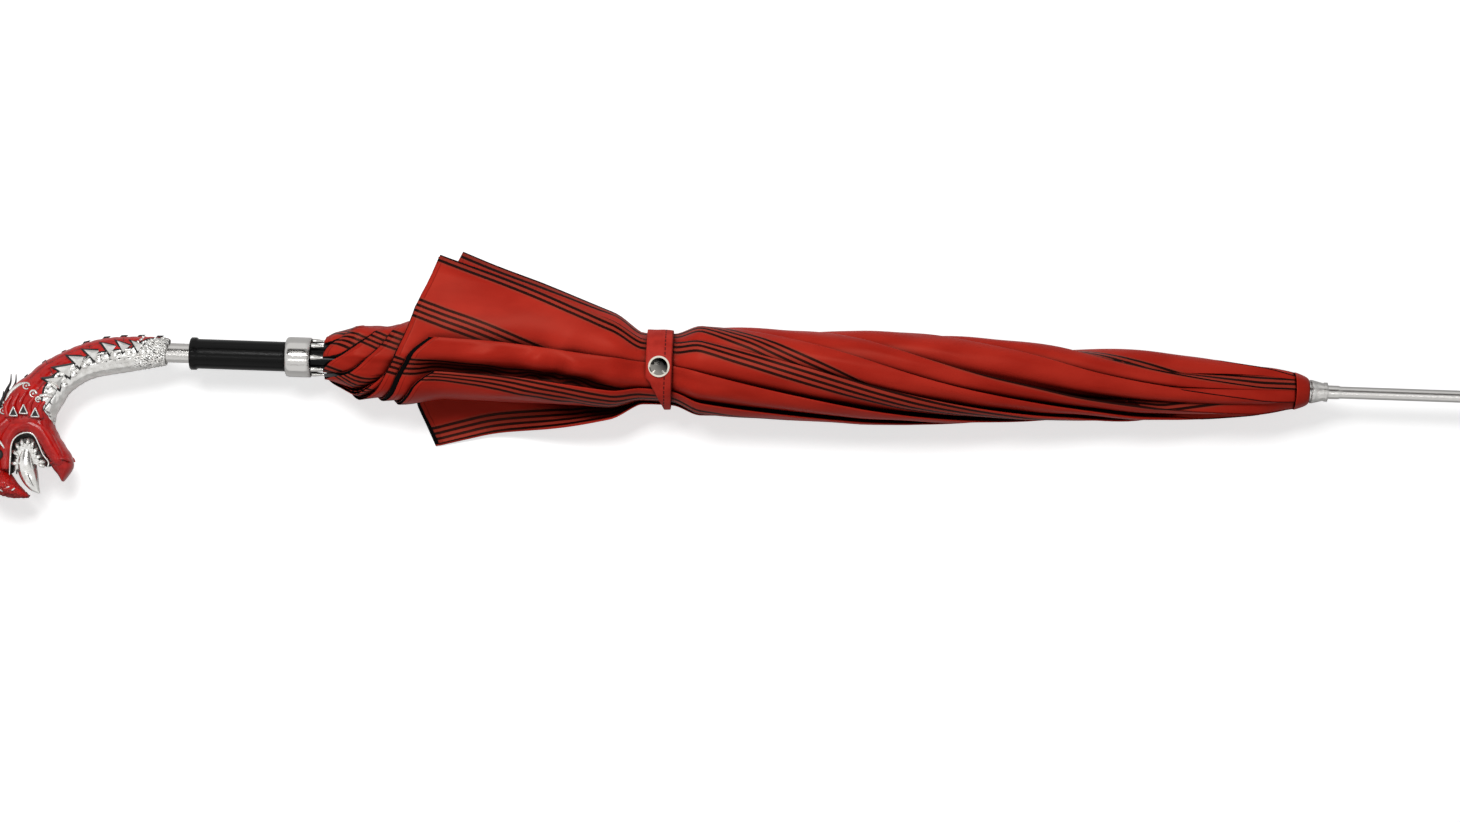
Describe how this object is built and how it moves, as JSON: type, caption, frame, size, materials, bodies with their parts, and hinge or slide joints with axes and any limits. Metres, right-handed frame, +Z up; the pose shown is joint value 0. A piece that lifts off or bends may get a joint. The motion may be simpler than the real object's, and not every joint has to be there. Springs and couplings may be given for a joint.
{
  "type": "stick umbrella",
  "caption": "Furled stick umbrella with a dragon-head crook handle, sliding runner, folding ribs, striped double canopy and a press-stud strap.",
  "frame": {"origin": "on the shaft's axis, where the parallel part of the ferrule starts", "axes": "+X along the shaft towards the ferrule's end, +Z up with the umbrella lying furled on its side, the crook curving towards -Y"},
  "size_m": [0.9224, 0.161, 0.055],
  "materials": {
    "chrome": "polished chrome plate",
    "steel": "plain plated steel",
    "red_lacquer": "glossy red enamel over a cast form",
    "silver_trim": "bright silver plating with dark recesses",
    "eye_black": "glossy black",
    "black_grip": "glossy black",
    "canopy_cloth": "orange-red satin with groups of thin black stripes outside, black lining inside",
    "strap_cloth": "orange-red satin, dark edge stitching"
  },
  "bodies": {
    "shaft": {"shaft_tube": "chrome", "ferrule": "chrome", "canopy_cap": "chrome", "top_notch": "steel", "notch_wire": "steel", "handle_neck": "red_lacquer", "handle_collar": "chrome", "handle_body": "red_lacquer", "upper_jaw": "red_lacquer", "lower_jaw": "red_lacquer", "mouth_lining": "silver_trim", "tongue": "silver_trim", "teeth": "silver_trim", "horns": "silver_trim", "dorsal_spines": "silver_trim", "side_scales": "silver_trim", "belly_scales": "silver_trim", "eyes": "eye_black"},
    "runner": {"runner_sleeve": "black_grip", "tip_cup": "chrome", "runner_crown": "chrome", "runner_wire": "steel"},
    "rib_1": {"rib_1": "steel", "rib_tip_1": "chrome"},
    "rib_2": {"rib_2": "steel", "rib_tip_2": "chrome"},
    "rib_3": {"rib_3": "steel", "rib_tip_3": "chrome", "strap_band": "strap_cloth", "snap_stud": "steel"},
    "rib_4": {"rib_4": "steel", "rib_tip_4": "chrome"},
    "rib_5": {"rib_5": "steel", "rib_tip_5": "chrome"},
    "rib_6": {"rib_6": "steel", "rib_tip_6": "chrome"},
    "rib_7": {"rib_7": "steel", "rib_tip_7": "chrome"},
    "rib_8": {"rib_8": "steel", "rib_tip_8": "chrome"},
    "stretcher_1": {"stretcher_1": "steel"},
    "stretcher_2": {"stretcher_2": "steel"},
    "stretcher_3": {"stretcher_3": "steel"},
    "stretcher_4": {"stretcher_4": "steel"},
    "stretcher_5": {"stretcher_5": "steel"},
    "stretcher_6": {"stretcher_6": "steel"},
    "stretcher_7": {"stretcher_7": "steel"},
    "stretcher_8": {"stretcher_8": "steel"},
    "gore_1": {"gore_1": "canopy_cloth"},
    "gore_2": {"gore_2": "canopy_cloth"},
    "gore_3": {"gore_3": "canopy_cloth"},
    "gore_4": {"gore_4": "canopy_cloth"},
    "gore_5": {"gore_5": "canopy_cloth"},
    "gore_6": {"gore_6": "canopy_cloth"},
    "gore_7": {"gore_7": "canopy_cloth"},
    "gore_8": {"gore_8": "canopy_cloth"},
    "strap_tail": {"strap_tail": "strap_cloth", "snap_cap": "chrome"},
    "top_catch": {"top_catch": "steel"},
    "bottom_catch": {"bottom_catch": "steel"}
  },
  "joints": [
    {"name": "canopy_open", "type": "hinge", "parent": "shaft", "child": "rib_1", "pos_m": [-0.026, 0.008, 0], "axis": [0, 0, -1], "range_deg": [0, 65], "deforming": ["gore_1", "gore_2", "gore_3", "gore_4", "gore_5", "gore_6", "gore_7", "gore_8", "strap_band", "strap_tail", "snap_cap", "snap_stud", "top_catch", "bottom_catch"]},
    {"name": "rib_2_swing", "type": "hinge", "parent": "shaft", "child": "rib_2", "pos_m": [-0.026, 0.00566, 0.00566], "axis": [0, 0.7071, -0.7071], "range_deg": [0, 65]},
    {"name": "rib_3_swing", "type": "hinge", "parent": "shaft", "child": "rib_3", "pos_m": [-0.026, 0, 0.008], "axis": [0, 1, 0], "range_deg": [0, 65]},
    {"name": "rib_4_swing", "type": "hinge", "parent": "shaft", "child": "rib_4", "pos_m": [-0.026, -0.00566, 0.00566], "axis": [0, 0.7071, 0.7071], "range_deg": [0, 65]},
    {"name": "rib_5_swing", "type": "hinge", "parent": "shaft", "child": "rib_5", "pos_m": [-0.026, -0.008, 0], "axis": [0, 0, 1], "range_deg": [0, 65]},
    {"name": "rib_6_swing", "type": "hinge", "parent": "shaft", "child": "rib_6", "pos_m": [-0.026, -0.00566, -0.00566], "axis": [0, -0.7071, 0.7071], "range_deg": [0, 65]},
    {"name": "rib_7_swing", "type": "hinge", "parent": "shaft", "child": "rib_7", "pos_m": [-0.026, 0, -0.008], "axis": [0, -1, 0], "range_deg": [0, 65]},
    {"name": "rib_8_swing", "type": "hinge", "parent": "shaft", "child": "rib_8", "pos_m": [-0.026, 0.00566, -0.00566], "axis": [0, -0.7071, -0.7071], "range_deg": [0, 65]},
    {"name": "stretcher_1_swing", "type": "hinge", "parent": "rib_1", "child": "stretcher_1", "pos_m": [-0.316, 0.0102, 0], "axis": [0, 0, -1], "range_deg": [-130, 0]},
    {"name": "stretcher_2_swing", "type": "hinge", "parent": "rib_2", "child": "stretcher_2", "pos_m": [-0.316, 0.00721, 0.00721], "axis": [0, 0.7071, -0.7071], "range_deg": [-130, 0]},
    {"name": "stretcher_3_swing", "type": "hinge", "parent": "rib_3", "child": "stretcher_3", "pos_m": [-0.316, 0, 0.0102], "axis": [0, 1, 0], "range_deg": [-130, 0]},
    {"name": "stretcher_4_swing", "type": "hinge", "parent": "rib_4", "child": "stretcher_4", "pos_m": [-0.316, -0.00721, 0.00721], "axis": [0, 0.7071, 0.7071], "range_deg": [-130, 0]},
    {"name": "stretcher_5_swing", "type": "hinge", "parent": "rib_5", "child": "stretcher_5", "pos_m": [-0.316, -0.0102, 0], "axis": [0, 0, 1], "range_deg": [-130, 0]},
    {"name": "stretcher_6_swing", "type": "hinge", "parent": "rib_6", "child": "stretcher_6", "pos_m": [-0.316, -0.00721, -0.00721], "axis": [0, -0.7071, 0.7071], "range_deg": [-130, 0]},
    {"name": "stretcher_7_swing", "type": "hinge", "parent": "rib_7", "child": "stretcher_7", "pos_m": [-0.316, 0, -0.0102], "axis": [0, -1, 0], "range_deg": [-130, 0]},
    {"name": "stretcher_8_swing", "type": "hinge", "parent": "rib_8", "child": "stretcher_8", "pos_m": [-0.316, 0.00721, -0.00721], "axis": [0, -0.7071, -0.7071], "range_deg": [-130, 0]},
    {"name": "runner_on_stretcher", "type": "hinge", "parent": "stretcher_1", "child": "runner", "pos_m": [-0.606, 0.008, 0], "axis": [0, 0, -1], "range_deg": [0, 65]},
    {"name": "gore_1_spread", "type": "hinge", "parent": "rib_1", "child": "gore_1", "pos_m": [-0.02221, 0.00206, 0.00085], "axis": [-0.5072, 0.7962, 0.3298], "range_deg": [0, 47.46]},
    {"name": "gore_2_spread", "type": "hinge", "parent": "rib_2", "child": "gore_2", "pos_m": [-0.02221, 0.00085, 0.00206], "axis": [-0.5072, 0.3298, 0.7962], "range_deg": [0, 47.46]},
    {"name": "gore_3_spread", "type": "hinge", "parent": "rib_3", "child": "gore_3", "pos_m": [-0.02221, -0.00085, 0.00206], "axis": [-0.5072, -0.3298, 0.7962], "range_deg": [0, 47.46]},
    {"name": "gore_4_spread", "type": "hinge", "parent": "rib_4", "child": "gore_4", "pos_m": [-0.02221, -0.00206, 0.00085], "axis": [-0.5072, -0.7962, 0.3298], "range_deg": [0, 47.46]},
    {"name": "gore_5_spread", "type": "hinge", "parent": "rib_5", "child": "gore_5", "pos_m": [-0.02221, -0.00206, -0.00085], "axis": [-0.5072, -0.7962, -0.3298], "range_deg": [0, 47.46]},
    {"name": "gore_6_spread", "type": "hinge", "parent": "rib_6", "child": "gore_6", "pos_m": [-0.02221, -0.00085, -0.00206], "axis": [-0.5072, -0.3298, -0.7962], "range_deg": [0, 47.46]},
    {"name": "gore_7_spread", "type": "hinge", "parent": "rib_7", "child": "gore_7", "pos_m": [-0.02221, 0.00085, -0.00206], "axis": [-0.5072, 0.3298, -0.7962], "range_deg": [0, 47.46]},
    {"name": "gore_8_spread", "type": "hinge", "parent": "rib_8", "child": "gore_8", "pos_m": [-0.02221, 0.00206, -0.00085], "axis": [-0.5072, 0.7962, -0.3298], "range_deg": [0, 47.46]},
    {"name": "bottom_catch_press", "type": "hinge", "parent": "shaft", "child": "bottom_catch", "pos_m": [-0.6597, -0.00099, -0.0024], "axis": [0, 0.9239, -0.3827], "range_deg": [0, 6]},
    {"name": "top_catch_press", "type": "hinge", "parent": "shaft", "child": "top_catch", "pos_m": [-0.39213, -0.00099, -0.0024], "axis": [0, -0.9239, 0.3827], "range_deg": [0, 6]},
    {"name": "strap_tail_open", "type": "hinge", "parent": "rib_3", "child": "strap_tail", "pos_m": [-0.418, 0.02377, 0.00505], "axis": [-1, 0, 0], "range_deg": [0, 110]}
  ],
  "couplings": [
    {"joint": "rib_2_swing", "follows": "canopy_open", "ratio": 1},
    {"joint": "rib_3_swing", "follows": "canopy_open", "ratio": 1},
    {"joint": "rib_4_swing", "follows": "canopy_open", "ratio": 1},
    {"joint": "rib_5_swing", "follows": "canopy_open", "ratio": 1},
    {"joint": "rib_6_swing", "follows": "canopy_open", "ratio": 1},
    {"joint": "rib_7_swing", "follows": "canopy_open", "ratio": 1},
    {"joint": "rib_8_swing", "follows": "canopy_open", "ratio": 1},
    {"joint": "stretcher_1_swing", "follows": "canopy_open", "ratio": -2},
    {"joint": "stretcher_2_swing", "follows": "canopy_open", "ratio": -2},
    {"joint": "stretcher_3_swing", "follows": "canopy_open", "ratio": -2},
    {"joint": "stretcher_4_swing", "follows": "canopy_open", "ratio": -2},
    {"joint": "stretcher_5_swing", "follows": "canopy_open", "ratio": -2},
    {"joint": "stretcher_6_swing", "follows": "canopy_open", "ratio": -2},
    {"joint": "stretcher_7_swing", "follows": "canopy_open", "ratio": -2},
    {"joint": "stretcher_8_swing", "follows": "canopy_open", "ratio": -2},
    {"joint": "runner_on_stretcher", "follows": "canopy_open", "ratio": 1},
    {"joint": "gore_1_spread", "follows": "canopy_open", "ratio": 0.73019},
    {"joint": "gore_2_spread", "follows": "canopy_open", "ratio": 0.73019},
    {"joint": "gore_3_spread", "follows": "canopy_open", "ratio": 0.73019},
    {"joint": "gore_4_spread", "follows": "canopy_open", "ratio": 0.73019},
    {"joint": "gore_5_spread", "follows": "canopy_open", "ratio": 0.73019},
    {"joint": "gore_6_spread", "follows": "canopy_open", "ratio": 0.73019},
    {"joint": "gore_7_spread", "follows": "canopy_open", "ratio": 0.73019},
    {"joint": "gore_8_spread", "follows": "canopy_open", "ratio": 0.73019}
  ]
}
